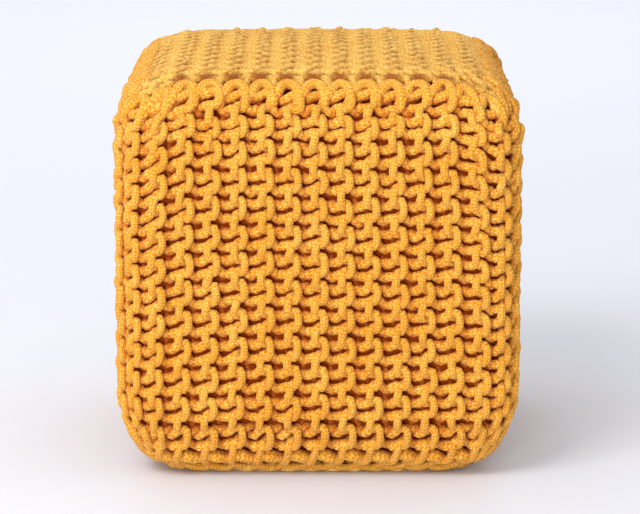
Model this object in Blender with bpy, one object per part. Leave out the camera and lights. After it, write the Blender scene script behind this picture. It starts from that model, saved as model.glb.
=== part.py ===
"""Knitted cube pouf, filled, in thick cotton cord.

One garter stitch strip is knitted sideways and goes once round the four sides, so its ribs stand
upright. A square garter stitch panel closes each end, and its ribs run from front to back.
Each of the three is a filled solid, and they meet at the two seams.

Lengths are in metres and +Z is up. The front faces -Y, and the origin is on the floor under the middle.
"""

import math

import bmesh
import bpy

# The filled form.
WIDTH = 0.400  # over the ribs, from side to side and from front to back
HEIGHT = 0.412  # from the floor to the middle of the crown
CROWN = 0.008  # how far the middle of the top stands over its edge
TOP_ROUND = 0.060  # radius between the sides and the top
FOOT_ROUND = 0.068  # radius between the sides and the floor
CORNER_ROUND = 0.040  # radius of the upright corners at half height
SEAM_CORNER_ROUND = 0.052  # radius of the same corners at the seams
TOP_SEAM_ANGLE = math.radians(64)  # how far up the top round its seam lies
FOOT_SEAM_ANGLE = math.radians(62)  # how far down the foot round its seam lies
SEAM_GAP = 0.0003  # between two solids that meet at a seam
SEAM_DRAW = 0.002  # how far the sewing draws a panel's edge in
RIM = 0.0012  # height of a panel's edge at its seam

# The knitting.
BAND_RIBS = 58
BAND_RIB_DEPTH = 0.006
BAND_RIB_FADE = 0.035  # how far from a seam the ribs start to flatten
SEAM_RIB_SHARE = 0.4  # what is left of a rib's depth at a seam
PANEL_RIBS = 13
TOP_RIB_DEPTH = 0.004
UNDER_RIB_DEPTH = 0.0025
RIB_STEPS = 4  # points across one rib
STRAIGHT_SHARE = 0.78  # the part of each half side whose ribs run straight up to the seam
RIB_NARROWING = 0.98  # how much closer together they stand at the seams

# Steps along the band's height and along a panel's ribs.
FOOT_STEPS = 5
SIDE_STEPS = 4
TOP_STEPS = 5
PANEL_STEPS = 12

TOP_EDGE = HEIGHT - CROWN
TOP_SEAM = TOP_EDGE - TOP_ROUND * (1 - math.sin(TOP_SEAM_ANGLE))
FOOT_SEAM = FOOT_ROUND * (1 - math.sin(FOOT_SEAM_ANGLE))
TOP_PANEL_HALF = WIDTH / 2 - TOP_ROUND * (1 - math.cos(TOP_SEAM_ANGLE)) - SEAM_DRAW
FOOT_PANEL_HALF = WIDTH / 2 - FOOT_ROUND * (1 - math.cos(FOOT_SEAM_ANGLE)) - SEAM_DRAW
HALF_SIDE = WIDTH / 2 - CORNER_ROUND + CORNER_ROUND * math.pi / 4  # middle of a side to mid corner

MUSTARD = (0.79, 0.38, 0.07, 1.0)


def smooth(share):
    """0 to 1 with a soft start and end."""
    share = min(max(share, 0.0), 1.0)
    return share * share * (3 - 2 * share)


def rib_wave(ribs_along):
    """0 on a rib's crest and 1 in the groove beside it."""
    return (1 - math.cos(2 * math.pi * ribs_along)) / 2


def band_levels():
    """(inset from the full width, height) of the band's levels, from the foot seam up to the top seam."""
    levels = []
    for step in range(FOOT_STEPS + 1):
        angle = FOOT_SEAM_ANGLE * (1 - step / FOOT_STEPS)
        levels.append((FOOT_ROUND * (1 - math.cos(angle)), FOOT_ROUND * (1 - math.sin(angle))))
    side_height = TOP_EDGE - TOP_ROUND - FOOT_ROUND
    for step in range(1, SIDE_STEPS):
        levels.append((0.0, FOOT_ROUND + side_height * step / SIDE_STEPS))
    for step in range(TOP_STEPS + 1):
        angle = TOP_SEAM_ANGLE * step / TOP_STEPS
        levels.append((TOP_ROUND * (1 - math.cos(angle)), TOP_EDGE - TOP_ROUND * (1 - math.sin(angle))))
    return levels


def nearness_to_seam(height):
    """0 at half height and 1 at the seams."""
    middle = (TOP_SEAM + FOOT_SEAM) / 2
    return abs(height - middle) / (TOP_SEAM - middle)


def band_point(share, inset, height):
    """A point of the band, at a share of the way round it from the middle of the front towards +X."""
    half = WIDTH / 2 - inset
    seam = nearness_to_seam(height)
    corner = CORNER_ROUND + (SEAM_CORNER_ROUND - CORNER_ROUND) * seam**3
    straight = half - corner
    half_side = straight + corner * math.pi / 4

    # The ribs in the middle of a side run straight up, and those near its corners are gathered in.
    side = math.floor(share * 4 + 0.5)
    across = 2 * (share * 4 - side)
    straight_ribs = STRAIGHT_SHARE * HALF_SIDE * (1 - (1 - RIB_NARROWING) * seam**3)
    if abs(across) <= STRAIGHT_SHARE:
        along = straight_ribs * abs(across) / STRAIGHT_SHARE
    else:
        gathered = (abs(across) - STRAIGHT_SHARE) / (1 - STRAIGHT_SHARE)
        along = straight_ribs + (half_side - straight_ribs) * gathered

    fade = smooth(min(TOP_SEAM - height, height - FOOT_SEAM) / BAND_RIB_FADE)
    depth = BAND_RIB_DEPTH * (SEAM_RIB_SHARE + (1 - SEAM_RIB_SHARE) * fade)
    turn = max(along - straight, 0.0) / corner
    reach = corner - depth * rib_wave(share * BAND_RIBS)
    x = math.copysign(min(along, straight) + reach * math.sin(turn), across)
    y = -straight - reach * math.cos(turn)
    quarter = side * math.pi / 2
    return (
        x * math.cos(quarter) - y * math.sin(quarter),
        x * math.sin(quarter) + y * math.cos(quarter),
        height,
    )


def inside_rounded_square(x, y, half, corner):
    """How far a point lies inside the edge of a rounded square."""
    past_x = abs(x) - (half - corner)
    past_y = abs(y) - (half - corner)
    beyond = math.hypot(max(past_x, 0.0), max(past_y, 0.0))
    return corner - beyond - min(max(past_x, past_y), 0.0)


def panel_half_length(x, half, corner):
    """Half the length of the panel's line at x, from its middle to its rounded edge."""
    past = min(max(abs(x) - (half - corner), 0.0), corner)
    return half - corner + math.sqrt(corner * corner - past * past)


def top_surface(x, y):
    """Height of the crowned top panel."""
    inside = inside_rounded_square(x, y, TOP_PANEL_HALF, SEAM_CORNER_ROUND)
    edge_width = TOP_ROUND * math.cos(TOP_SEAM_ANGLE)
    left = edge_width * (1 - min(inside / edge_width, 1.0))
    rounding = math.sqrt(TOP_ROUND**2 - left**2) - TOP_ROUND * math.sin(TOP_SEAM_ANGLE)
    across_x = 1 - (x / TOP_PANEL_HALF) ** 2
    across_y = 1 - (y / TOP_PANEL_HALF) ** 2
    crown = (CROWN - RIM) * max(across_x, 0.0) * max(across_y, 0.0)
    fade = smooth(inside / BAND_RIB_FADE)
    ribs = TOP_RIB_DEPTH * fade * rib_wave(x / (2 * TOP_PANEL_HALF) * PANEL_RIBS)
    return TOP_SEAM + RIM + rounding + crown - ribs


def under_surface(x, y):
    """Height of the bottom panel's underside, whose ribs are pressed flat on the floor."""
    inside = inside_rounded_square(x, y, FOOT_PANEL_HALF, SEAM_CORNER_ROUND)
    edge_width = FOOT_ROUND * math.cos(FOOT_SEAM_ANGLE)
    left = 1 - min(inside / edge_width, 1.0)
    rim_height = FOOT_SEAM - RIM
    groove = rib_wave(x / (2 * FOOT_PANEL_HALF) * PANEL_RIBS)
    pressed = max(2 * groove - 1, 0.0)
    return max(rim_height * left**2, UNDER_RIB_DEPTH * pressed * (1 - left))


def make_object(name, bm, collection):
    """An object of its own, shaded smooth, with the cord's colour."""
    bmesh.ops.recalc_face_normals(bm, faces=bm.faces)
    mesh = bpy.data.meshes.new(name)
    bm.to_mesh(mesh)
    bm.free()
    mesh.shade_smooth()
    mesh.set_sharp_from_angle(angle=math.radians(50))
    piece = bpy.data.objects.new(name, mesh)
    collection.objects.link(piece)
    material = bpy.data.materials.new(name + "_cord")
    material.use_nodes = True
    shader = material.node_tree.nodes["Principled BSDF"]
    shader.inputs["Base Color"].default_value = MUSTARD
    shader.inputs["Roughness"].default_value = 0.9
    shader.inputs["Metallic"].default_value = 0.0
    mesh.materials.append(material)
    return piece


def make_side_band(collection):
    """The filled strip: a ribbed ring drawn up level by level, and closed flat at both seams."""
    levels = band_levels()
    count = BAND_RIBS * RIB_STEPS
    bm = bmesh.new()
    ring = bmesh.ops.create_circle(bm, cap_ends=False, radius=WIDTH / 2, segments=count)["verts"]
    ring_edges = list(bm.edges)
    order = {}
    for vert in ring:
        angle = math.atan2(vert.co.y, vert.co.x) + math.pi / 2
        order[vert] = round(angle / (2 * math.pi) * count) % count
    for vert, place in order.items():
        vert.co = band_point(place / count, *levels[0])
    bmesh.ops.edgeloop_fill(bm, edges=ring_edges)
    for level in levels[1:]:
        grown = bmesh.ops.extrude_edge_only(bm, edges=ring_edges)["geom"]
        ring_edges = [item for item in grown if isinstance(item, bmesh.types.BMEdge)]
        below = {vert.co.copy().freeze(): place for vert, place in order.items()}
        new_verts = [item for item in grown if isinstance(item, bmesh.types.BMVert)]
        order = {vert: below[vert.co.copy().freeze()] for vert in new_verts}
        for vert, place in order.items():
            vert.co = band_point(place / count, *level)
    bmesh.ops.edgeloop_fill(bm, edges=ring_edges)
    return make_object("side_band", bm, collection)


def make_panel(name, half, surface, seam, collection):
    """A square panel: a grid laid on its crowned face, with its rim drawn to the seam and closed flat."""
    bm = bmesh.new()
    bmesh.ops.create_grid(bm, x_segments=PANEL_RIBS * RIB_STEPS, y_segments=PANEL_STEPS, size=1.0)
    for vert in bm.verts:
        x = vert.co.x * half
        y = vert.co.y * panel_half_length(x, half, SEAM_CORNER_ROUND)
        vert.co = (x, y, surface(x, y))
    rim = [edge for edge in bm.edges if edge.is_boundary]
    grown = bmesh.ops.extrude_edge_only(bm, edges=rim)["geom"]
    for item in grown:
        if isinstance(item, bmesh.types.BMVert):
            item.co.z = seam
    bmesh.ops.edgeloop_fill(bm, edges=[item for item in grown if isinstance(item, bmesh.types.BMEdge)])
    return make_object(name, bm, collection)


def main():
    for old in list(bpy.data.objects):
        bpy.data.objects.remove(old)
    pouf = bpy.data.collections.new("knitted_pouf")
    bpy.context.scene.collection.children.link(pouf)
    make_side_band(pouf)
    make_panel("top_panel", TOP_PANEL_HALF, top_surface, TOP_SEAM + SEAM_GAP, pouf)
    make_panel("bottom_panel", FOOT_PANEL_HALF, under_surface, FOOT_SEAM - SEAM_GAP, pouf)


main()
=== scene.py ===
"""Knitted cube pouf: the cord itself, laid stitch by stitch over the filled form.

One garter stitch strip goes round the four sides with its ribs upright, and a square of the same
stitch closes the top and the bottom. Behind the cord lies the filled cover that the stitches hold in.
Lengths are in metres, +Z is up and the front faces -Y.
"""

import math
from functools import partial

import bmesh
import bpy
import numpy as np
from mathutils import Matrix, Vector


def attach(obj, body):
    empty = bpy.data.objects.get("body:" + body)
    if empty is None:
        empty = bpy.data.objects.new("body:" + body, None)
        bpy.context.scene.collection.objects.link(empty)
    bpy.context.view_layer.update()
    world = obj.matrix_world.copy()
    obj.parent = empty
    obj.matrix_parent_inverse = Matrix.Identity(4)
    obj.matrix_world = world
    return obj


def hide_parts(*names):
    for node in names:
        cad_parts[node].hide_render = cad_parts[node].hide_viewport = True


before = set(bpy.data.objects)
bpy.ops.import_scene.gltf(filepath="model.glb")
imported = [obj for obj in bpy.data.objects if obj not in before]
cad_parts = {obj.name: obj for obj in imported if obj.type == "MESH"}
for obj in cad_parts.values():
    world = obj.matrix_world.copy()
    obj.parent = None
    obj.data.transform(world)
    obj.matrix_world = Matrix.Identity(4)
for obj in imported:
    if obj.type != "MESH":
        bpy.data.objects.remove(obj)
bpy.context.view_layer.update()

bl_info = {
    "name": "Knitted pouf",
    "version": (1, 0, 0),
    "blender": (4, 5, 0),
    "location": "3D View > Sidebar > Pouf",
    "description": "Knits a filled cube pouf in thick cotton cord",
    "category": "Add Mesh",
}

MM = 0.001

# One stitch of each row, from the middle of its foot up to its head and on to the next foot. Every step
# is (across in mm, along in stitches, out in mm, thickness against the cord's, pieces to the next step).
# Across runs in the order in which the rows were knitted, and out is 0 for a cord on the crest.
KNIT_LOOP = (
    (-13.2, -0.50, -14.5, 0.92, 1),  # at the back of the valley, between two loops
    (-12.2, -0.33, -12.0, 0.92, 1),
    (-9.6, -0.22, -7.2, 1.00, 1),  # up through the loop behind
    (-6.0, -0.21, -4.4, 1.17, 1),
    (-2.0, -0.25, -3.9, 1.20, 1),  # under the purl bar
    (2.2, -0.30, -3.8, 1.18, 1),
    (6.2, -0.30, -2.6, 1.04, 2),
    (8.6, -0.17, -0.7, 0.96, 2),
    (9.2, 0.02, 0.0, 0.96, 2),  # the head, on the crest
    (8.8, 0.18, -0.8, 0.96, 1),
    (7.4, 0.29, -2.6, 1.04, 1),
    (3.0, 0.31, -3.9, 1.18, 1),
    (-2.0, 0.26, -4.2, 1.20, 1),
    (-6.2, 0.24, -4.8, 1.17, 1),
    (-9.6, 0.19, -7.4, 1.00, 1),
    (-12.2, 0.33, -12.0, 0.92, 1),
)
KNIT_LOWER_CORD = slice(3, 7)  # its steps across the valley below the head
KNIT_UPPER_CORD = slice(10, 15)  # and above it
KNIT_PAST_HEAD = slice(9, None)
PURL_LOOP = (
    (-0.3, -0.50, 0.0, 0.98, 2),  # the bar between two loops, on the crest
    (0.6, -0.34, -0.5, 0.98, 1),
    (2.2, -0.22, -2.8, 0.96, 1),
    (5.8, -0.13, -6.2, 0.92, 2),  # down through the knit loop
    (12.5, -0.23, -6.6, 1.08, 1),
    (16.5, -0.29, -7.4, 1.08, 1),
    (20.4, -0.30, -10.0, 0.96, 1),
    (23.4, -0.20, -13.2, 0.92, 1),
    (24.4, 0.00, -14.0, 0.92, 1),  # the head, at the back
    (23.4, 0.20, -13.2, 0.92, 1),
    (20.4, 0.30, -10.0, 0.96, 1),
    (16.5, 0.29, -7.4, 1.08, 1),
    (12.5, 0.23, -6.6, 1.08, 2),
    (5.0, 0.12, -6.2, 0.92, 1),
    (0.4, 0.20, -3.0, 0.96, 1),
    (-0.5, 0.33, -0.6, 0.98, 2),
)
# The turn from a knit row into the purl row beside it, an arch over the edge of the strip. Along is
# counted from the last loop's middle.
TOP_TURN = (
    (-14.0, 0.22, -9.5, 0.95, 1),
    (-19.5, -0.06, -7.5, 1.05, 2),
    (-19.5, -0.10, -4.6, 1.18, 2),
    (-16.5, 0.14, -2.4, 1.30, 2),
    (-12.5, 0.42, -1.2, 1.34, 2),
    (-8.5, 0.66, -0.5, 1.30, 2),
    (-3.0, 0.81, -0.2, 1.26, 2),
    (3.0, 0.79, -0.4, 1.28, 2),
    (7.0, 0.62, -0.6, 1.32, 2),
    (9.0, 0.36, -0.7, 1.30, 2),
    (9.8, 0.08, -1.4, 1.20, 2),
    (9.4, -0.12, -4.0, 1.05, 1),
)
# The turn from a purl row into the next knit row: the last bar runs down to the edge, a thin bow lies
# under the rib there, and the cord comes back behind the bar.
FOOT_TURN = (
    (-1.8, -0.66, 0.4, 1.08, 2),
    (-4.2, -0.88, 0.2, 1.20, 2),
    (-7.4, -1.08, -1.2, 1.08, 2),
    (-9.6, -1.26, -1.2, 0.86, 2),
    (-6.4, -1.38, 2.0, 0.88, 2),
    (0.5, -1.46, 3.2, 0.92, 2),
    (6.5, -1.48, 3.4, 0.92, 2),
    (12.0, -1.44, 3.0, 0.92, 2),
    (17.4, -1.30, 0.6, 0.92, 2),
    (21.4, -1.08, -2.4, 1.10, 2),
    (20.0, -0.86, -3.4, 1.40, 2),
    (14.5, -0.74, -2.6, 1.62, 2),
    (8.0, -0.70, -2.4, 1.66, 2),
    (2.0, -0.72, -4.0, 1.50, 2),
    (-2.5, -0.76, -6.4, 1.05, 1),
)
# The same two turns at the ends of a panel's ribs. The first dives behind the seam, and the second
# comes over it between two arches.
PANEL_TURN = (
    (-12.5, 0.28, -10.5, 0.95, 2),
    (-8.0, 0.40, -6.0, 1.00, 2),
    (-2.5, 0.50, -4.6, 1.00, 2),
    (3.0, 0.50, -5.0, 1.00, 2),
    (9.0, 0.40, -6.8, 1.00, 2),
)
PANEL_FRONT_TURN = (
    (14.0, -0.28, -4.0, 0.95, 2),
    (15.6, -0.56, -2.2, 1.02, 2),
    (17.6, -0.78, -2.4, 1.05, 2),
    (19.8, -0.56, -2.2, 1.02, 2),
    (21.2, -0.30, -3.6, 0.95, 1),
)


# ------------------------------------
# Sizes and colours


class PoufForm(bpy.types.PropertyGroup):
    """The filled form that the knitting is stretched over."""

    width: bpy.props.FloatProperty(
        name="Width",
        description="Over the ribs, side to side and front to back",
        default=0.400,
        unit="LENGTH",
    )
    height: bpy.props.FloatProperty(
        name="Height",
        description="From the floor to the middle of the crown",
        default=0.412,
        unit="LENGTH",
    )
    crown: bpy.props.FloatProperty(
        name="Crown",
        description="How far the middle of the top stands over its edge",
        default=0.008,
        unit="LENGTH",
    )
    top_round: bpy.props.FloatProperty(
        name="Top round",
        description="Radius between the sides and the top",
        default=0.060,
        unit="LENGTH",
    )
    foot_round: bpy.props.FloatProperty(
        name="Foot round",
        description="Radius between the sides and the floor",
        default=0.071,
        unit="LENGTH",
    )
    foot_draw: bpy.props.FloatProperty(
        name="Foot draw",
        description="How far the sides are drawn in above the foot",
        default=0.0048,
        unit="LENGTH",
    )
    corner_round: bpy.props.FloatProperty(
        name="Corner round",
        description="Radius of the upright corners at half height",
        default=0.040,
        unit="LENGTH",
    )
    seam_corner_round: bpy.props.FloatProperty(
        name="Seam corner round",
        description="Radius of the corners at the top seam",
        default=0.052,
        unit="LENGTH",
    )
    foot_corner_round: bpy.props.FloatProperty(
        name="Foot corner round",
        description="Radius of the corners at the foot seam",
        default=0.036,
        unit="LENGTH",
    )
    top_seam_angle: bpy.props.FloatProperty(
        name="Top seam",
        description="How far up the top round its seam lies",
        default=math.radians(64),
        subtype="ANGLE",
    )
    foot_seam_angle: bpy.props.FloatProperty(
        name="Foot seam",
        description="How far down the foot round its seam lies",
        default=math.radians(69.5),
        subtype="ANGLE",
    )
    corner_dip: bpy.props.FloatProperty(
        name="Corner dip",
        description="How far the top seam is pulled over the corners",
        default=math.radians(22),
        subtype="ANGLE",
    )
    foot_dip: bpy.props.FloatProperty(
        name="Foot dip",
        description="How far the foot seam is pulled up the corners",
        default=math.radians(3),
        subtype="ANGLE",
    )


class PoufKnitting(bpy.types.PropertyGroup):
    """The cord and the stitch."""

    cord: bpy.props.FloatProperty(
        name="Cord",
        description="Thickness of the cord",
        default=0.0084,
        unit="LENGTH",
    )
    band_ribs: bpy.props.IntProperty(name="Ribs round", description="Ribs round the sides", default=58)
    band_stitches: bpy.props.IntProperty(name="Stitches high", description="Loops up a side", default=13)
    panel_ribs: bpy.props.IntProperty(name="Panel ribs", description="Ribs across a panel", default=13)
    panel_stitches: bpy.props.IntProperty(name="Panel stitches", description="Loops along it", default=12)
    sag: bpy.props.FloatProperty(
        name="Sag",
        description="How far the cords hang between two ribs, in stitches",
        default=0.15,
    )
    unevenness: bpy.props.FloatProperty(
        name="Unevenness",
        description="How much hand knitting wanders",
        default=1.0,
    )
    seed: bpy.props.IntProperty(name="Seed", description="Changes which stitches wander", default=7)


class PoufColours(bpy.types.PropertyGroup):
    """The dyed cotton, the painted shade on it, and its surroundings."""

    cord_light: bpy.props.FloatVectorProperty(
        name="Cord, light",
        description="Fibres that catch the light",
        subtype="COLOR",
        default=(0.84, 0.535, 0.130),
    )
    cord: bpy.props.FloatVectorProperty(
        name="Cord",
        description="Dyed cotton",
        subtype="COLOR",
        default=(0.76, 0.340, 0.021),
    )
    # The darkest tone: painted shade in the pits between the plies, and the darkest fibres at random.
    cord_deep: bpy.props.FloatVectorProperty(
        name="Cord, deep",
        description="Between the plies",
        subtype="COLOR",
        default=(0.56, 0.155, 0.002),
    )
    # Painted shade: this colour multiplies the cord deep in the stitches, darker and redder the deeper it
    # lies.
    deep_painted_shade: bpy.props.FloatVectorProperty(
        name="Cord, inside",
        description="Tint deep in the stitches",
        subtype="COLOR",
        default=(0.70, 0.33, 0.08),
    )
    # Painted shade in the creases between the stitches of a panel's rib.
    painted_crease_shade: bpy.props.FloatVectorProperty(
        name="Crease",
        description="Tint between the stitches of a panel's rib",
        subtype="COLOR",
        default=(0.60, 0.49, 0.30),
    )
    # Painted shade where a panel's rib goes under the seam.
    painted_rib_end_shade: bpy.props.FloatVectorProperty(
        name="Rib's end",
        description="Tint where a panel's rib goes under the seam",
        subtype="COLOR",
        default=(0.36, 0.17, 0.03),
    )
    # The cover is real, but its colour is painted dark as painted shade behind the stitches.
    cover: bpy.props.FloatVectorProperty(
        name="Cover",
        description="The filled cover behind the stitches",
        subtype="COLOR",
        default=(0.32, 0.046, 0.001),
    )
    floor: bpy.props.FloatVectorProperty(
        name="Floor",
        description="Plain pale floor",
        subtype="COLOR",
        default=(0.72, 0.735, 0.795),
    )
    sky: bpy.props.FloatVectorProperty(
        name="Room light, colour",
        description="Tint of the light from all round",
        subtype="COLOR",
        default=(0.975, 0.985, 1.0),
    )


class PoufStudio(bpy.types.PropertyGroup):
    """The camera and the lights."""

    camera_back: bpy.props.FloatProperty(
        name="Camera distance",
        description="From the middle of the pouf",
        default=2.970,
        unit="LENGTH",
    )
    camera_height: bpy.props.FloatProperty(
        name="Camera height",
        description="Above the floor",
        default=0.824,
        unit="LENGTH",
    )
    camera_aside: bpy.props.FloatProperty(
        name="Camera aside",
        description="To the right of the middle",
        default=0.0021,
        unit="LENGTH",
    )
    camera_tilt: bpy.props.FloatProperty(
        name="Camera tilt",
        description="Below level",
        default=math.radians(12.118),
        subtype="ANGLE",
    )
    lens: bpy.props.FloatProperty(
        name="Lens",
        description="For a 36 mm wide picture, in millimetres",
        default=165.4,
    )
    key_watts: bpy.props.FloatProperty(
        name="Key light",
        description="Power of the main lamp",
        default=54.0,
        unit="POWER",
    )
    fill_watts: bpy.props.FloatProperty(
        name="Fill light",
        description="Power of the low lamp in front",
        default=57.0,
        unit="POWER",
    )
    floor_watts: bpy.props.FloatProperty(
        name="Far floor light",
        description="Power of the lamp over the floor behind",
        default=35.0,
        unit="POWER",
    )
    sky_strength: bpy.props.FloatProperty(
        name="Room light",
        description="Strength of the light from all round",
        default=0.84,
    )


GROUPS = {
    "pouf_form": PoufForm,
    "pouf_knitting": PoufKnitting,
    "pouf_colours": PoufColours,
    "pouf_studio": PoufStudio,
}


# ------------------------------------
# The filled form, as surfaces that take arrays of places


STRAIGHT_SHARE = 0.78  # the part of each half side whose ribs run straight up to the seams
RIB_SPREAD_LOW = 1.026  # how far apart they stand at the floor, against the mean
RIB_SPREAD_RISE = 0.2145  # and how much closer they come together for each metre up
DIP_START = 0.70  # the part of each half side whose seam runs level
MOST_STRAIGHT = 0.93  # the most of a half side that its straight ribs may take up
FOOT_DRAW_TOP = 0.090  # how high above the floor the sides start to be drawn in
HALVINGS = 24  # how often the search for a place on a round halves its steps
NUDGE = 1e-4  # how far a place is moved to find which way the surface faces


def smooth(share):
    """0 to 1 with a soft start and end."""
    share = np.clip(share, 0.0, 1.0)
    return share * share * (3 - 2 * share)


def corner_at(form, height):
    """The radius of the upright corners at a height."""
    low = form.foot_round * (1 - math.sin(form.foot_seam_angle))
    high = form.height - form.crown - form.top_round * (1 - math.sin(form.top_seam_angle))
    rise = np.clip((2 * height - high - low) / (high - low), -1.0, 1.0)
    at_seam = np.where(rise > 0, form.seam_corner_round, form.foot_corner_round)
    return form.corner_round + (at_seam - form.corner_round) * np.abs(rise) ** 3


def drawn_in(form, height):
    """How much further in the sides lie just above the foot, where the knitting is drawn under."""
    return form.foot_draw * np.sin(math.pi * np.clip(1 - height / FOOT_DRAW_TOP, 0.0, 1.0)) ** 2


def side_surface(form, share, climb):
    """Points on the sides, at a share of the way round from the front's middle and of the climb up."""
    side = np.floor(share * 4 + 0.5)
    across = 2 * (share * 4 - side)
    dip = smooth((np.abs(across) - DIP_START) / (1 - DIP_START))
    upright = form.height - form.crown - form.top_round - form.foot_round
    foot_length = form.foot_round * (form.foot_seam_angle - form.foot_dip * dip)
    top_length = form.top_round * (form.top_seam_angle - form.corner_dip * dip)
    way = climb * (foot_length + upright + top_length) - foot_length
    foot_angle = np.maximum(-way, 0.0) / form.foot_round
    top_angle = np.maximum(way - upright, 0.0) / form.top_round
    inset = form.foot_round * (1 - np.cos(foot_angle)) + form.top_round * (1 - np.cos(top_angle))
    foot_height = form.foot_round * (1 - np.sin(foot_angle))
    height = foot_height + np.clip(way, 0.0, upright) + form.top_round * np.sin(top_angle)
    inset = inset + drawn_in(form, height)

    corner = corner_at(form, height)
    half = form.width / 2 - inset
    straight = half - corner
    half_side = straight + corner * math.pi / 4
    mean_half_side = form.width / 2 - form.corner_round * (1 - math.pi / 4)
    spread = RIB_SPREAD_LOW - RIB_SPREAD_RISE * height
    straight_ribs = np.minimum(STRAIGHT_SHARE * mean_half_side * spread, MOST_STRAIGHT * half_side)
    gathered = np.maximum(np.abs(across) - STRAIGHT_SHARE, 0.0) / (1 - STRAIGHT_SHARE)
    along = straight_ribs * np.minimum(np.abs(across) / STRAIGHT_SHARE, 1.0)
    along = along + (half_side - straight_ribs) * gathered
    turn = np.maximum(along - straight, 0.0) / corner
    x = np.sign(across) * (np.minimum(along, straight) + corner * np.sin(turn))
    y = -straight - corner * np.cos(turn)
    quarter = side * math.pi / 2
    turned_x = x * np.cos(quarter) - y * np.sin(quarter)
    turned_y = x * np.sin(quarter) + y * np.cos(quarter)
    return np.stack((turned_x, turned_y, height), axis=-1)


def inside_rounded_square(x, y, half, corner):
    """How far a point lies inside the edge of a rounded square."""
    past_x = np.abs(x) - (half - corner)
    past_y = np.abs(y) - (half - corner)
    beyond = np.hypot(np.maximum(past_x, 0.0), np.maximum(past_y, 0.0))
    return corner - beyond - np.minimum(np.maximum(past_x, past_y), 0.0)


def rounding_inset(form, x, y, edge_round, height_of):
    """How far in from the full width the round lies, where it passes through a point outside the seam."""
    low = np.zeros_like(x)
    high = np.full_like(x, edge_round)
    for _ in range(HALVINGS):
        middle = (low + high) / 2
        corner = corner_at(form, height_of(middle))
        inside = inside_rounded_square(x, y, form.width / 2 - middle, corner) > 0
        low = np.where(inside, middle, low)
        high = np.where(inside, high, middle)
    return low


def top_surface(form, x, y):
    """Points on the crowned top, which runs on over the round at its edge."""
    edge = form.height - form.crown
    reach = form.top_round * math.cos(form.top_seam_angle)
    seam_half = form.width / 2 - form.top_round + reach

    def round_height(inset):
        return edge - form.top_round + np.sqrt(form.top_round**2 - (form.top_round - inset) ** 2)

    inside = inside_rounded_square(x, y, seam_half, form.seam_corner_round)
    left = np.clip(reach - inside, 0.0, reach)
    flat = edge - form.top_round + np.sqrt(form.top_round**2 - left**2)
    crown_x = np.maximum(1 - (x / seam_half) ** 2, 0.0)
    crown_y = np.maximum(1 - (y / seam_half) ** 2, 0.0)
    over = round_height(rounding_inset(form, x, y, form.top_round, round_height))
    height = np.where(inside > 0, flat + form.crown * crown_x * crown_y, np.minimum(over, flat))
    return np.stack((x, y, height), axis=-1)


def under_surface(form, x, y):
    """Points on the underside, which is flat on the floor and rounds up at its edge."""
    reach = form.foot_round * math.cos(form.foot_seam_angle)
    seam_half = form.width / 2 - form.foot_round + reach

    def round_height(inset):
        return form.foot_round - np.sqrt(form.foot_round**2 - (form.foot_round - inset) ** 2)

    inside = inside_rounded_square(x, y, seam_half, form.foot_corner_round)
    left = np.clip(reach - inside, 0.0, reach)
    flat = form.foot_round - np.sqrt(form.foot_round**2 - left**2)
    over = round_height(rounding_inset(form, x, y, form.foot_round, round_height))
    return np.stack((x, y, np.where(inside > 0, flat, np.maximum(over, flat))), axis=-1)


def lay(surface, first, second, out):
    """Places on a surface, moved outwards from it."""
    point = surface(first, second)
    along_first = surface(first + NUDGE, second) - surface(first - NUDGE, second)
    along_second = surface(first, second + NUDGE) - surface(first, second - NUDGE)
    outward = np.cross(along_first, along_second)
    outward /= np.linalg.norm(outward, axis=-1, keepdims=True)
    return point + outward * out[..., None]


# ------------------------------------
# The knitting


WAVES_A_RIB = 0.055  # how fast the wandering changes from rib to rib
WAVES_A_STITCH = 0.085  # and from stitch to stitch
EDGE_UNEVENNESS = 1.0  # how much more the last loops of a row wander
LOOP_PULL = (0.55, 0.026, 0.35)  # how far a loop is pulled across in mm, along in stitches and out in mm
LOOP_STRETCH = 0.04  # how much longer or shorter it is
LOOP_ENDS = 1.6  # how much less of that its ends take
STEP_PULL = 0.22  # how far a step is pulled across or out, in mm
STEP_SHIFT = 0.010  # and along, in stitches
STEP_SWELL = 0.02  # how much thicker or thinner the cord is there
TURN_PULL = (0.35, 0.012, 0.3)  # how far a step of a turn is pulled across, along and out
TURN_SHIFT = 0.5  # and the whole turn across, in mm
LAST_LOOP_REACH = (0.03, 1.4, 0.10)  # how the last knit loop reaches along and out into the arch, and swells
LOWEST_LOOP_SWELL = (0.01, 0.4, 0.25)  # the same of the lowest one's lower cord, under the pouf's weight
LOWEST_LOOP_PRESS = 0.08  # how far its upper cord is pressed down on that, in stitches


class Wander:
    """Slow, seeded wandering over a flat piece of knitting."""

    def __init__(self, rng, waves=9):
        self.pull = rng.normal(0.0, 1.0, waves) / math.sqrt(waves / 2)
        self.first = rng.normal(0.0, WAVES_A_RIB, waves)
        self.second = rng.normal(0.0, WAVES_A_STITCH, waves)
        self.start = rng.uniform(0.0, 2 * math.pi, waves)

    def at(self, ribs, stitches):
        phase = ribs[..., None] * self.first + stitches[..., None] * self.second
        return (self.pull * np.sin(2 * math.pi * phase + self.start)).sum(axis=-1)


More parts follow.
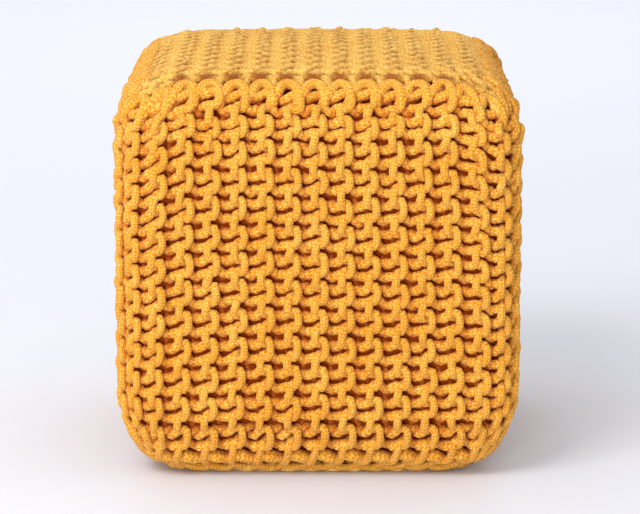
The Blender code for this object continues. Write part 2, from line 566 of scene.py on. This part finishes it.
def row_steps(loop, loops, first_middle, rng, knitting):
    """The steps of each loop of a row, all pulled a little out of place, and the last two loops' more."""
    row = []
    for number in range(loops):
        steps = np.array(loop)
        count = len(steps)
        rough = knitting.unevenness * (1.0 + EDGE_UNEVENNESS * max(number + 3 - loops, 0) / 2)
        pull_across, pull_along, pull_out = rng.normal(0.0, 1.0, 3) * LOOP_PULL * rough
        near_middle = 1 - np.abs(steps[:, 1]) * LOOP_ENDS
        steps[:, 0] += pull_across + rng.normal(0.0, STEP_PULL, count) * rough
        steps[:, 1] = steps[:, 1] * (1 + rng.normal(0.0, LOOP_STRETCH) * rough * near_middle)
        steps[:, 1] += first_middle + number + pull_along + rng.normal(0.0, STEP_SHIFT, count) * rough
        steps[:, 2] += (pull_out + rng.normal(0.0, STEP_PULL, count)) * rough
        steps[:, 3] *= 1 + rng.normal(0.0, STEP_SWELL, count) * rough
        row.append(steps)
    return row


def turn_steps(turn, middle, rng, knitting):
    """The steps of a turn at the edge of the knitting."""
    steps = np.array(turn)
    steps[:, 1] += middle
    rough = knitting.unevenness
    steps[:, :3] += rng.normal(0.0, 1.0, (len(steps), 3)) * TURN_PULL * rough
    steps[:, 0] += rng.normal(0.0, TURN_SHIFT) * rough
    return steps


def rib_steps(knitting, loops, first_middle, turns, rng):
    """One rib: up in a knit row, over the far turn, down in a purl row, and across to the next rib."""
    last_middle = first_middle + loops - 1
    knit = row_steps(KNIT_LOOP, loops, first_middle, rng, knitting)
    purl = row_steps(PURL_LOOP, loops, first_middle, rng, knitting)
    knit[-1] = knit[-1][:-1]
    knit[-1][KNIT_PAST_HEAD, 1:4] += LAST_LOOP_REACH
    if turns[1] is FOOT_TURN:
        knit[0][KNIT_LOWER_CORD, 1:4] += LOWEST_LOOP_SWELL
        knit[0][KNIT_UPPER_CORD, 1] -= LOWEST_LOOP_PRESS
    down = [steps[::-1].copy() for steps in purl[::-1]]
    # The turns take the place of the steps nearest to them.
    down[0] = down[0][3:]
    if turns[1] is PANEL_FRONT_TURN:
        knit[0] = knit[0][3:]
        down[-1] = down[-1][:-4]
    # A purl row is laid backwards, so the pieces to the next step move on by one.
    for steps in down:
        steps[:, 4] = np.roll(steps[:, 4], -1)
    parts = knit + [turn_steps(turns[0], last_middle, rng, knitting)]
    parts += down + [turn_steps(turns[1], first_middle, rng, knitting)]
    steps = np.concatenate(parts)
    steps[:, 4] = np.maximum(steps[:, 4], 1)
    return steps


def rounded(steps):
    """The cord's points: a smooth curve through the steps, with the pieces asked for between them."""
    counts = steps[:-1, 4].astype(int)
    start = np.repeat(np.arange(len(counts)), counts)
    share = np.concatenate([np.arange(count) / count for count in counts])[:, None]
    last = len(steps) - 1
    before = steps[np.maximum(start - 1, 0), :4]
    here = steps[start, :4]
    there = steps[start + 1, :4]
    after = steps[np.minimum(start + 2, last), :4]
    curve = 2 * here + (there - before) * share
    curve += (2 * before - 5 * here + 4 * there - after) * share**2
    curve += (3 * here - before - 3 * there + after) * share**3
    return np.concatenate((curve / 2, steps[-1:, :4]))


def cord_mesh(name, strands, cord):
    """All the strands of one piece as round cord, turned into one mesh. A strand is (places, thickness)."""
    curve = bpy.data.curves.new(name + "_path", "CURVE")
    curve.dimensions = "3D"
    curve.bevel_depth = cord / 2
    curve.bevel_resolution = 2
    curve.use_fill_caps = True
    for places, thickness in strands:
        spline = curve.splines.new("POLY")
        spline.points.add(len(places) - 1)
        spline.points.foreach_set("co", np.hstack((places, np.ones((len(places), 1)))).ravel())
        spline.points.foreach_set("radius", thickness)
        spline.use_smooth = True
    holder = bpy.data.objects.new(name + "_path", curve)
    bpy.context.scene.collection.objects.link(holder)
    bpy.context.view_layer.update()
    mesh = bpy.data.meshes.new_from_object(holder.evaluated_get(bpy.context.evaluated_depsgraph_get()))
    bpy.data.objects.remove(holder)
    bpy.data.curves.remove(curve)
    mesh.name = name
    mesh.shade_smooth()
    return mesh


SHADE_START = 0.0038  # from the crests in to where the painted shade on the cord starts to deepen
SHADE_DEPTH = 0.0105  # and from there to where it is deepest


def mark_depth(form, mesh, creases=None):
    """Writes the masks of the painted shade, both from 0 to 1: how deep each point of the cord lies, and how
    much painted shade a panel's creases and ribs' ends give it.
    """
    places = np.zeros(len(mesh.vertices) * 3)
    mesh.vertices.foreach_get("co", places)
    x, y, height = places.reshape(-1, 3).T
    edge = form.height - form.crown
    foot = np.clip(1 - height / form.foot_round, 0.0, 1.0)
    top = np.clip(1 - (edge - height) / form.top_round, 0.0, 1.0)
    inset = form.foot_round * (1 - np.sqrt(1 - foot**2)) + form.top_round * (1 - np.sqrt(1 - top**2))
    inset = inset + drawn_in(form, height)
    side = inside_rounded_square(x, y, form.width / 2 - inset, corner_at(form, height))
    above = top_surface(form, x, y)[:, 2] - height
    below = height - under_surface(form, x, y)[:, 2]
    depth = np.minimum(np.minimum(side, above), below)
    # The depth mask, which darkens the cord as painted shade.
    attribute = mesh.attributes.new("depth", "FLOAT", "POINT")
    attribute.data.foreach_set("value", smooth((depth - SHADE_START) / SHADE_DEPTH))
    if creases:
        # The mask of the painted shade in a panel's creases and at its ribs' front ends.
        attribute = mesh.attributes.new("painted_crease_shade", "FLOAT", "POINT")
        attribute.data.foreach_set("value", creases(x, y))


def finish_piece(name, mesh, material, nodes):
    """Puts a finished mesh in the scene, riding on the pouf and standing for its CAD nodes."""
    mesh.materials.clear()
    mesh.materials.append(material)
    piece = bpy.data.objects.new(name, mesh)
    bpy.context.scene.collection.objects.link(piece)
    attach(piece, "root")
    if nodes:
        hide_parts(*nodes)
    return piece


# ------------------------------------
# Materials


def new_material(name):
    """An empty material with its shader, and its nodes and links."""
    material = bpy.data.materials.new(name)
    material.use_nodes = True
    nodes = material.node_tree.nodes
    return material, nodes, material.node_tree.links, nodes["Principled BSDF"]


def plug(links, socket, value):
    """Links a socket to another one, or gives it a value of its own."""
    if isinstance(value, bpy.types.NodeSocket):
        links.new(value, socket)
    else:
        socket.default_value = value


def sum_node(nodes, links, operation, *values):
    """One step of arithmetic between sockets or numbers."""
    node = nodes.new("ShaderNodeMath")
    node.operation = operation
    for socket, value in zip(node.inputs, values):
        plug(links, socket, value)
    return node.outputs[0]


def weighed_sum(nodes, links, start, parts):
    """The sum of some sockets, each times its own weight, on top of a number."""
    total = start
    for socket, weight in parts:
        total = sum_node(nodes, links, "MULTIPLY_ADD", socket, weight, total)
    return total


def noise_node(nodes, links, vector, scale, detail=2.0, roughness=0.5):
    """Even noise at a scale, from 0 to 1."""
    node = nodes.new("ShaderNodeTexNoise")
    node.inputs["Scale"].default_value = scale
    node.inputs["Detail"].default_value = detail
    node.inputs["Roughness"].default_value = roughness
    links.new(vector, node.inputs["Vector"])
    return node.outputs["Fac"]


def ramp_node(nodes, links, factor, *stops):
    """A colour that runs through some stops, each a place from 0 to 1 and a colour."""
    node = nodes.new("ShaderNodeValToRGB")
    ramp = node.color_ramp.elements
    while len(ramp) < len(stops):
        ramp.new(0.5)
    for number, (place, colour) in enumerate(stops):
        ramp[number].position = place
        ramp[number].color = (*colour, 1.0)
    links.new(factor, node.inputs["Fac"])
    return node.outputs["Color"]


def attribute_node(nodes, name):
    """What a mesh's own attribute says."""
    node = nodes.new("ShaderNodeAttribute")
    node.attribute_name = name
    return node.outputs["Fac"]


def with_painted_shade(nodes, links, colour, painted_shade_colour, amount):
    """A colour multiplied by a painted shade colour."""
    node = nodes.new("ShaderNodeMix")
    node.data_type = "RGBA"
    node.blend_type = "MULTIPLY"
    plug(links, node.inputs["Factor"], amount)
    plug(links, node.inputs["A"], colour)
    plug(links, node.inputs["B"], painted_shade_colour)
    return node.outputs["Result"]


def cotton_cord(name, colours, strand_length, painted_light=0.0):
    """Dyed cotton cord: a fine knitted sleeve with loose fibres along it. Painted shade darkens it deep in
    the stitches, in a panel's creases and in the pits between its plies, and painted light makes it paler
    where asked.
    """
    material, nodes, links, shader = new_material(name)
    where = nodes.new("ShaderNodeTexCoord")
    split = nodes.new("ShaderNodeSeparateXYZ")
    links.new(where.outputs["UV"], split.inputs[0])
    fibre = noise_node(nodes, links, where.outputs["Object"], scale=780.0, detail=3.0, roughness=0.7)
    fluff = noise_node(nodes, links, where.outputs["Object"], scale=320.0)
    dye = noise_node(nodes, links, where.outputs["Object"], scale=28.0)

    # The sleeve's slanted plies, with gullies between them and a pit at the end of each.
    plies = 7
    ply_length = 0.0036
    ply_slant = 1.1
    round_cord = sum_node(nodes, links, "MULTIPLY", split.outputs["Y"], plies)
    across_ply = sum_node(nodes, links, "PINGPONG", round_cord, 0.5)
    along_cord = sum_node(nodes, links, "MULTIPLY_ADD", split.outputs["X"], strand_length / ply_length, fluff)
    slant = sum_node(nodes, links, "MULTIPLY_ADD", across_ply, ply_slant, along_cord)
    turn = sum_node(nodes, links, "MULTIPLY", slant, 2 * math.pi)
    wave = sum_node(nodes, links, "SINE", turn)
    ply = sum_node(nodes, links, "MULTIPLY_ADD", wave, 0.5, 0.5)
    middle = sum_node(nodes, links, "MULTIPLY", across_ply, 2.0)
    gully = sum_node(nodes, links, "POWER", middle, 0.6)
    sleeve = sum_node(nodes, links, "MULTIPLY", ply, gully)
    hollow = sum_node(nodes, links, "SUBTRACT", 1.0, sleeve)
    pits = sum_node(nodes, links, "POWER", hollow, 7.0)

    # Fibres that run along the cord, different from place to place.
    streak_length = 0.010
    angle = sum_node(nodes, links, "MULTIPLY", split.outputs["Y"], 2 * math.pi)
    shift = sum_node(nodes, links, "MULTIPLY", dye, 20.0)
    along = sum_node(nodes, links, "MULTIPLY_ADD", split.outputs["X"], strand_length / streak_length, shift)
    spot = nodes.new("ShaderNodeCombineXYZ")
    links.new(along, spot.inputs[0])
    links.new(sum_node(nodes, links, "COSINE", angle), spot.inputs[1])
    links.new(sum_node(nodes, links, "SINE", angle), spot.inputs[2])
    streak = noise_node(nodes, links, spot.outputs[0], scale=2.2, roughness=0.6)

    heights = ((sleeve, 0.35), (fibre, 0.6), (fluff, 0.8), (streak, 1.2))
    bump = nodes.new("ShaderNodeBump")
    bump.inputs["Strength"].default_value = 1.0
    bump.inputs["Distance"].default_value = 0.0011
    links.new(weighed_sum(nodes, links, 0.0, heights), bump.inputs["Height"])
    links.new(bump.outputs[0], shader.inputs["Normal"])

    # Painted shade and light: the pits between the plies darken the tone and the plies' middles lighten it a
    # little; fibre, fluff, dye and streaks vary it at random.
    tones = ((pits, -0.55), (sleeve, 0.15), (fibre, 0.65), (fluff, 0.35), (dye, 0.40), (streak, 1.05))
    tone = weighed_sum(nodes, links, painted_light - 0.59, tones)
    cord_colour_stops = ((0.10, colours.cord_deep), (0.55, colours.cord), (1.0, colours.cord_light))
    colour = ramp_node(nodes, links, tone, *cord_colour_stops)
    # Painted shade deep in the stitches, by the depth mask.
    inside = (*colours.deep_painted_shade, 1.0)
    colour = with_painted_shade(nodes, links, colour, inside, attribute_node(nodes, "depth"))
    # Painted shade in a panel's creases and, darker, at its ribs' front ends.
    creases = ((0.0, (1.0, 1.0, 1.0)), (0.5, colours.painted_crease_shade), (1.0, colours.painted_rib_end_shade))
    painted_shade_colour = ramp_node(nodes, links, attribute_node(nodes, "painted_crease_shade"), *creases)
    links.new(with_painted_shade(nodes, links, colour, painted_shade_colour, 1.0), shader.inputs["Base Color"])
    shader.inputs["Roughness"].default_value = 0.88
    shader.inputs["Specular IOR Level"].default_value = 0.20
    shader.inputs["Sheen Weight"].default_value = 0.06
    shader.inputs["Sheen Roughness"].default_value = 0.6
    return material


def cover_cloth(colours):
    """The filled cover behind the stitches, its colour painted dark as painted shade."""
    material, nodes, links, shader = new_material("cover_cloth")
    where = nodes.new("ShaderNodeTexCoord")
    weave = noise_node(nodes, links, where.outputs["Object"], scale=500.0, roughness=0.6)
    darker = tuple(part * 0.7 for part in colours.cover)
    colour = ramp_node(nodes, links, weave, (0.0, darker), (1.0, colours.cover))
    links.new(colour, shader.inputs["Base Color"])
    shader.inputs["Roughness"].default_value = 0.95
    shader.inputs["Specular IOR Level"].default_value = 0.1
    return material


def matt_floor(colours):
    """Plain pale floor."""
    material, nodes, links, shader = new_material("matt_floor")
    where = nodes.new("ShaderNodeTexCoord")
    cloud = noise_node(nodes, links, where.outputs["Object"], scale=0.8)
    darker = tuple(part * 0.985 for part in colours.floor)
    colour = ramp_node(nodes, links, cloud, (0.0, darker), (1.0, colours.floor))
    links.new(colour, shader.inputs["Base Color"])
    shader.inputs["Roughness"].default_value = 0.8
    shader.inputs["Specular IOR Level"].default_value = 0.2
    return material


# ------------------------------------
# Pieces


COVER_DEPTH = 0.0150  # from the crest of the ribs in to the filled cover
COVER_EDGE = 0.22  # the part of the way from a panel's middle to the other's that each panel takes up
COVER_DOME = 0.3  # how much of its depth the cover loses at the seams
COVER_DRAW = 0.75  # and how much further in it is drawn there
RIB_PITCH = 26.4  # from one rib's purl bars to the next rib's, in mm, as the stitches are drawn
LEFT_OF_RIB = 2.6  # from a rib's place on the sides to its purl bars, in mm
LEFT_OF_PANEL_RIB = 8.0  # the same on the top and the bottom
VALLEY = 18.0  # from a rib's purl bars to the middle of the valley, in mm
VALLEY_HALF = 4.0  # from there to where its side starts, in mm
VALLEY_SIDE = 5.0  # and how wide that is
KNIT_COLUMN = 9.2  # from a rib's purl bars to its knit heads, in mm
RIB_MIDDLE = 4.6  # and to the rib's own middle
CORD_SUNK = 1.10  # how deep the cord's middle lies under the crests, against half its thickness
LUMPS = 0.035  # how much the cord's thickness changes from place to place
FLOOR_GAP = 0.0003  # the least between the cord and the floor

# The strip round the sides, in stitches.
EDGE_HEIGHT = 1.34  # how much the turns at the foot and the top add to its loops
FIRST_MIDDLE = 1.42  # from the foot seam to the first loop's middle
SAG_FADE = 1.5  # how far from the seams the cords hang less
DRIFT_FADE = 1.2  # and wander less
DRIFT_ACROSS = 0.045  # how far they wander across, in ribs
DRIFT_ALONG = 0.06  # and along
EVEN_ROWS = 8.4  # how many below the top seam are all as high
ROW_STRETCH = 0.0141  # how fast those below them grow
LAST_ROW_STRETCH = 0.507  # how much longer the last one is
LAST_ROW = 12.5
LAST_ROW_FADE = 1.5

# The panels.
RIB_DRAWN = 0.42  # how much narrower their ribs are drawn
CREST_DEPTH = 2.5  # how far down the cord still lies flattened on them, in mm
CREST_FLATTENED = 0.32  # how much wider it lies there
PRESSED = 1.6  # how deep the stretched valleys are, in mm
BEAD_RISE = 0.5  # how far a stitch swells on the crest, in mm
BEAD_SWELL = 0.08  # and how much thicker it is
LAST_VALLEY = 1.02  # how far past the seam the last valley may reach
PANEL_FADE = 0.15  # the part of each half where the cords wander less
PANEL_DRIFT_ACROSS = 0.006  # how far they wander across, against half a panel
PANEL_DRIFT_ALONG = 0.008  # and along
CREASE_SHADE = 0.6  # how dark the painted shade in the creases between two stitches is
CREASE_BEHIND = 0.15  # how far behind the middle of the gap they show, in stitches
CREASE_HALF = 9.0  # how far they reach from the rib's middle, in mm
RIB_END_MIDDLE = 2.0  # the middle of the painted shade at a rib's front end, across in mm
RIB_END_HALF = 8.5  # and how far it reaches from there
RIB_END_START = 0.55  # where it starts, in stitches from the front
RIB_END_FADE = 0.25  # and how soon it is all dark
RIB_END_SIDE = 0.90  # the part of each half side that has them
RIB_END_SIDE_FADE = 0.1


def fallen(below_seam):
    """How far down the side a place lies, in even stitches: the lower ones are stretched by the weight."""
    grown = ROW_STRETCH * np.maximum(below_seam - EVEN_ROWS, 0.0) ** 2
    return below_seam + grown + LAST_ROW_STRETCH * smooth((below_seam - LAST_ROW) / LAST_ROW_FADE)


def hang(across):
    """How far a cord hangs at a place across the ribs: 0 on a rib and 1 in the valley."""
    from_valley = np.abs((across - VALLEY + RIB_PITCH / 2) % RIB_PITCH - RIB_PITCH / 2)
    return 1 - smooth((from_valley - VALLEY_HALF) / VALLEY_SIDE)


def on_floor(places, thickness, cord):
    """Keeps the cord above the floor."""
    places[:, 2] = np.maximum(places[:, 2], thickness * cord / 2 + FLOOR_GAP)
    return places


def band_strands(form, knitting, ribs, rng, wander_across, wander_along):
    """The strands of some of the ribs round the sides."""
    stitches = knitting.band_stitches
    length = stitches + EDGE_HEIGHT
    pitch = 1.0 / knitting.band_ribs
    depth = knitting.cord / 2 * CORD_SUNK
    turns = (TOP_TURN, FOOT_TURN)
    strands = []
    for rib in ribs:
        steps = rounded(rib_steps(knitting, stitches, FIRST_MIDDLE, turns, rng))
        step_across, step_along, out, thickness = steps.T
        across = (step_across - LEFT_OF_RIB) / RIB_PITCH + rib
        from_edge = np.minimum(length - step_along, step_along)
        along = step_along - knitting.sag * hang(step_across) * smooth(from_edge / SAG_FADE)
        # The wandering meets itself again after one turn round the pouf.
        turn = 2 * math.pi * (across / knitting.band_ribs)
        lap = (np.sin(turn) + 2 * np.cos(turn)) * knitting.band_ribs / (2 * math.pi)
        drift_across = wander_across.at(lap, along)
        drift_along = wander_along.at(lap, along)
        inner = smooth(np.minimum(along, length - along) / DRIFT_FADE)
        across = across + DRIFT_ACROSS * drift_across * inner * knitting.unevenness
        along = along + DRIFT_ALONG * drift_along * inner * knitting.unevenness
        places = lay(
            partial(side_surface, form),
            across * pitch,
            1 - fallen(length - along) / fallen(length),
            out * MM - depth,
        )
        thickness = thickness * rng.normal(1.0, LUMPS * knitting.unevenness, len(steps))
        strands.append((on_floor(places, thickness, knitting.cord), thickness))
    return strands


def panel_half(form):
    """From the middle of a panel to its seam."""
    return form.width / 2 - form.top_round * (1 - math.cos(form.top_seam_angle))


def panel_strands(form, knitting, surface, flip, reach, corner_reach, rng):
    """The strands of a square panel, its ribs from front to back. Flip is -1 for one seen from below."""
    wander_across = Wander(rng)
    wander_along = Wander(rng)
    stitches = knitting.panel_stitches
    half = panel_half(form)
    depth = knitting.cord / 2 * CORD_SUNK
    turns = (PANEL_TURN, PANEL_FRONT_TURN)
    strands = []
    for rib in range(knitting.panel_ribs):
        steps = rounded(rib_steps(knitting, stitches, 0.5, turns, rng))
        step_across, step_along, step_out, step_thickness = steps.T
        drawn = step_across - RIB_DRAWN * (1 - hang(step_across)) * (step_across - RIB_MIDDLE)
        across = ((drawn - LEFT_OF_PANEL_RIB) / RIB_PITCH + rib + 0.5) / knitting.panel_ribs * 2 - 1
        across = np.clip(across, -1.0, LAST_VALLEY)
        on_crest = np.exp(-((step_out / CREST_DEPTH) ** 2))
        column = np.where(step_across < RIB_MIDDLE, 0.0, 0.5)
        swell = np.cos(2 * math.pi * (step_along - column)) * on_crest
        out = (PRESSED * np.tanh(step_out / PRESSED) + BEAD_RISE * swell) * MM
        wider = 1 + CREST_FLATTENED * on_crest + BEAD_SWELL * swell
        along = step_along / stitches * 2 - 1
        ribs_from_middle = across * knitting.panel_ribs / 2
        drift_across = wander_across.at(ribs_from_middle, step_along)
        drift_along = wander_along.at(ribs_from_middle, step_along)
        inner = smooth((1 - np.abs(along)) / PANEL_FADE)
        across = across + PANEL_DRIFT_ACROSS * drift_across * inner * knitting.unevenness
        along = along + PANEL_DRIFT_ALONG * drift_along * inner * knitting.unevenness
        x = across * half * reach * (1 + corner_reach * along**4)
        y = along * half * reach * (1 + corner_reach * across**4)
        places = lay(surface, x, flip * y, out - depth * wider)
        lumps = rng.normal(1.0, LUMPS * knitting.unevenness, len(steps))
        thickness = step_thickness * wider * lumps
        strands.append((on_floor(places, thickness, knitting.cord), thickness))
    return strands


def panel_creases(form, knitting, x, y):
    """How much painted shade a place on a panel gets, in a crease between two stitches or at a rib's front
    end.
    """
    half = panel_half(form)
    ribs = (x / half + 1) / 2 * knitting.panel_ribs
    across = ((ribs - 0.5) * RIB_PITCH + LEFT_OF_PANEL_RIB + RIB_PITCH / 3) % RIB_PITCH - RIB_PITCH / 3
    along = (y / half + 1) / 2 * knitting.panel_stitches
    first_column = RIB_DRAWN * RIB_MIDDLE
    last_column = KNIT_COLUMN - RIB_DRAWN * (KNIT_COLUMN - RIB_MIDDLE)
    slant = np.clip((across - first_column) / (last_column - first_column), 0.0, 1.0) / 2
    between = 0.5 - 0.5 * np.cos(2 * math.pi * (along - CREASE_BEHIND - slant))
    painted_crease_shade = np.exp(-(((across - RIB_MIDDLE) / CREASE_HALF) ** 6)) * between**6
    painted_rib_end_shade = np.exp(-(((across - RIB_END_MIDDLE) / RIB_END_HALF) ** 4))
    painted_rib_end_shade *= smooth((RIB_END_START - along) / RIB_END_FADE)
    painted_rib_end_shade *= smooth((RIB_END_SIDE - np.abs(x) / half) / RIB_END_SIDE_FADE)
    return np.maximum(painted_crease_shade * CREASE_SHADE, painted_rib_end_shade)


class POUF_OT_cover(bpy.types.Operator):
    """Make the filled cover that shows in the gaps between the stitches"""

    bl_idname = "pouf.cover"
    bl_label = "Filled cover"

    def execute(self, context):
        form = context.scene.pouf_form
        count = 160
        levels = 44
        bm = bmesh.new()
        bmesh.ops.create_uvsphere(bm, u_segments=count, v_segments=levels, radius=1.0)
        for vert in bm.verts:
            spot = vert.co.normalized()
            turn = math.atan2(spot.x, -spot.y) / (2 * math.pi)
            rise = math.asin(max(-1.0, min(1.0, spot.z))) / math.pi + 0.5
            vert.co = cover_place(form, turn, rise)
        bmesh.ops.recalc_face_normals(bm, faces=bm.faces)
        mesh = bpy.data.meshes.new("filled_cover")
        bm.to_mesh(mesh)
        bm.free()
        mesh.shade_smooth()
        piece = finish_piece("filled_cover", mesh, cover_cloth(context.scene.pouf_colours), ())
        return {"FINISHED"}


def cover_place(form, turn, rise):
    """A point of the cover: turn round it, and rise from the middle of its foot to the middle of its top."""
    turn = np.array([turn])
    if rise < COVER_EDGE or rise > 1 - COVER_EDGE:
        low = rise < COVER_EDGE
        share = (rise if low else 1 - rise) / COVER_EDGE
        edge = side_surface(form, turn, np.array([0.0 if low else 1.0]))[0]
        surface = under_surface if low else top_surface
        inwards = 1.0 if low else -1.0
        place = surface(form, edge[:1] * share, edge[1:2] * share)[0]
        bend = COVER_DEPTH * share
        place[2] += inwards * (COVER_DEPTH - COVER_DOME * bend)
        place[:2] -= edge[:2] / math.hypot(edge[0], edge[1]) * bend * COVER_DRAW
        return Vector(place)
    climb = (rise - COVER_EDGE) / (1 - 2 * COVER_EDGE)
    climb = np.array([min(max(climb, 0.001), 0.999)])
    place = lay(partial(side_surface, form), turn, climb, np.array([-COVER_DEPTH]))
    return Vector(place[0])


class POUF_OT_knit_sides(bpy.types.Operator):
    """Knit the strip round the four sides, a piece for each side"""

    bl_idname = "pouf.knit_sides"
    bl_label = "Knitted sides"

    def execute(self, context):
        form = context.scene.pouf_form
        knitting = context.scene.pouf_knitting
        rng = np.random.default_rng(knitting.seed)
        wander_across = Wander(rng)
        wander_along = Wander(rng)
        material = cotton_cord("cotton_cord_sides", context.scene.pouf_colours, strand_length=2.05)
        a_side = knitting.band_ribs / 4
        for number, name in enumerate(("front_knit", "right_knit", "back_knit", "left_knit")):
            first = math.ceil((number - 0.5) * a_side)
            ribs = range(first, math.ceil((number + 0.5) * a_side))
            strands = band_strands(form, knitting, ribs, rng, wander_across, wander_along)
            mesh = cord_mesh(name, strands, knitting.cord)
            mark_depth(form, mesh)
            finish_piece(name, mesh, material, ("side_band",))
        return {"FINISHED"}


class POUF_OT_knit_top(bpy.types.Operator):
    """Knit the crowned square panel of the top"""

    bl_idname = "pouf.knit_top"
    bl_label = "Knitted top"

    def execute(self, context):
        form = context.scene.pouf_form
        knitting = context.scene.pouf_knitting
        strands = panel_strands(
            form,
            knitting,
            partial(top_surface, form),
            flip=1.0,
            reach=1.0,
            corner_reach=0.06,
            rng=np.random.default_rng(knitting.seed + 1),
        )
        mesh = cord_mesh("top_knit", strands, knitting.cord)
        mark_depth(form, mesh, partial(panel_creases, form, knitting))
        # Painted light: the panels' cord is made paler than the sides', as if lit more from above.
        material = cotton_cord("cotton_cord", context.scene.pouf_colours, strand_length=1.8, painted_light=0.31)
        finish_piece("top_knit", mesh, material, ("top_panel",))
        return {"FINISHED"}


class POUF_OT_knit_bottom(bpy.types.Operator):
    """Knit the square panel under the pouf, pressed flat on the floor"""

    bl_idname = "pouf.knit_bottom"
    bl_label = "Knitted bottom"

    def execute(self, context):
        form = context.scene.pouf_form
        knitting = context.scene.pouf_knitting
        strands = panel_strands(
            form,
            knitting,
            partial(under_surface, form),
            flip=-1.0,
            reach=0.90,
            corner_reach=-0.07,
            rng=np.random.default_rng(knitting.seed + 2),
        )
        mesh = cord_mesh("bottom_knit", strands, knitting.cord)
        mark_depth(form, mesh)
        # The bottom shares the top's cord, painted light and all.
        finish_piece("bottom_knit", mesh, bpy.data.materials["cotton_cord"], ("bottom_panel",))
        return {"FINISHED"}


class POUF_OT_studio(bpy.types.Operator):
    """Set the floor, the lights and the camera"""

    bl_idname = "pouf.studio"
    bl_label = "Studio"

    def execute(self, context):
        studio = context.scene.pouf_studio
        bm = bmesh.new()
        bmesh.ops.create_grid(bm, x_segments=1, y_segments=1, size=8.0)
        mesh = bpy.data.meshes.new("floor")
        bm.to_mesh(mesh)
        bm.free()
        mesh.materials.append(matt_floor(context.scene.pouf_colours))
        floor = bpy.data.objects.new("floor", mesh)
        context.scene.collection.objects.link(floor)

        world = bpy.data.worlds.new("room")
        world.use_nodes = True
        sky = world.node_tree.nodes["Background"].inputs
        sky["Color"].default_value = (*context.scene.pouf_colours.sky, 1.0)
        sky["Strength"].default_value = studio.sky_strength
        context.scene.world = world
        add_lamp("key", (-1.3, -1.9, 2.3), (0.0, 0.0, 0.2), 1.3, studio.key_watts, (1.0, 0.98, 0.965))
        add_lamp("fill", (-1.0, -3.3, 0.45), (0.0, 0.0, 0.05), 0.8, studio.fill_watts, (0.95, 0.98, 1.0))
        add_lamp("far_floor", (0.0, 3.2, 2.4), (0.0, 3.2, 0.0), 3.0, studio.floor_watts, (0.97, 0.98, 1.0))

        camera = bpy.data.cameras.new("camera")
        camera.lens = studio.lens
        camera.sensor_width = 36.0
        camera.clip_end = 50.0
        holder = bpy.data.objects.new("camera", camera)
        holder.location = (studio.camera_aside, -studio.camera_back, studio.camera_height)
        holder.rotation_euler = (math.pi / 2 - studio.camera_tilt, 0.0, 0.0)
        context.scene.collection.objects.link(holder)
        context.scene.camera = holder
        context.scene.view_settings.view_transform = "Standard"
        return {"FINISHED"}


def add_lamp(name, place, aim, size, watts, colour):
    """A soft square lamp that points at a place."""
    lamp = bpy.data.lights.new(name, "AREA")
    lamp.size = size
    lamp.energy = watts
    lamp.color = colour
    holder = bpy.data.objects.new(name, lamp)
    holder.location = place
    holder.rotation_euler = (Vector(aim) - Vector(place)).to_track_quat("-Z", "Y").to_euler()
    bpy.context.scene.collection.objects.link(holder)


OPERATORS = (POUF_OT_cover, POUF_OT_knit_sides, POUF_OT_knit_top, POUF_OT_knit_bottom, POUF_OT_studio)


class POUF_PT_panel(bpy.types.Panel):
    """Lists the sizes, the colours and the pieces"""

    bl_idname = "POUF_PT_panel"
    bl_label = "Knitted pouf"
    bl_space_type = "VIEW_3D"
    bl_region_type = "UI"
    bl_category = "Pouf"

    def draw(self, context):
        for group, kind in GROUPS.items():
            box = self.layout.box()
            box.label(text=kind.__doc__)
            for name in kind.__annotations__:
                box.prop(getattr(context.scene, group), name)
        for operator in OPERATORS:
            self.layout.operator(operator.bl_idname)


def register():
    for kind in (*GROUPS.values(), *OPERATORS, POUF_PT_panel):
        bpy.utils.register_class(kind)
    for group, kind in GROUPS.items():
        setattr(bpy.types.Scene, group, bpy.props.PointerProperty(type=kind))


def unregister():
    for group in GROUPS:
        delattr(bpy.types.Scene, group)
    for kind in (POUF_PT_panel, *reversed(OPERATORS), *GROUPS.values()):
        bpy.utils.unregister_class(kind)


def main():
    register()
    bpy.ops.pouf.cover()
    bpy.ops.pouf.knit_sides()
    bpy.ops.pouf.knit_top()
    bpy.ops.pouf.knit_bottom()
    bpy.ops.pouf.studio()


if __name__ == "__main__":
    main()
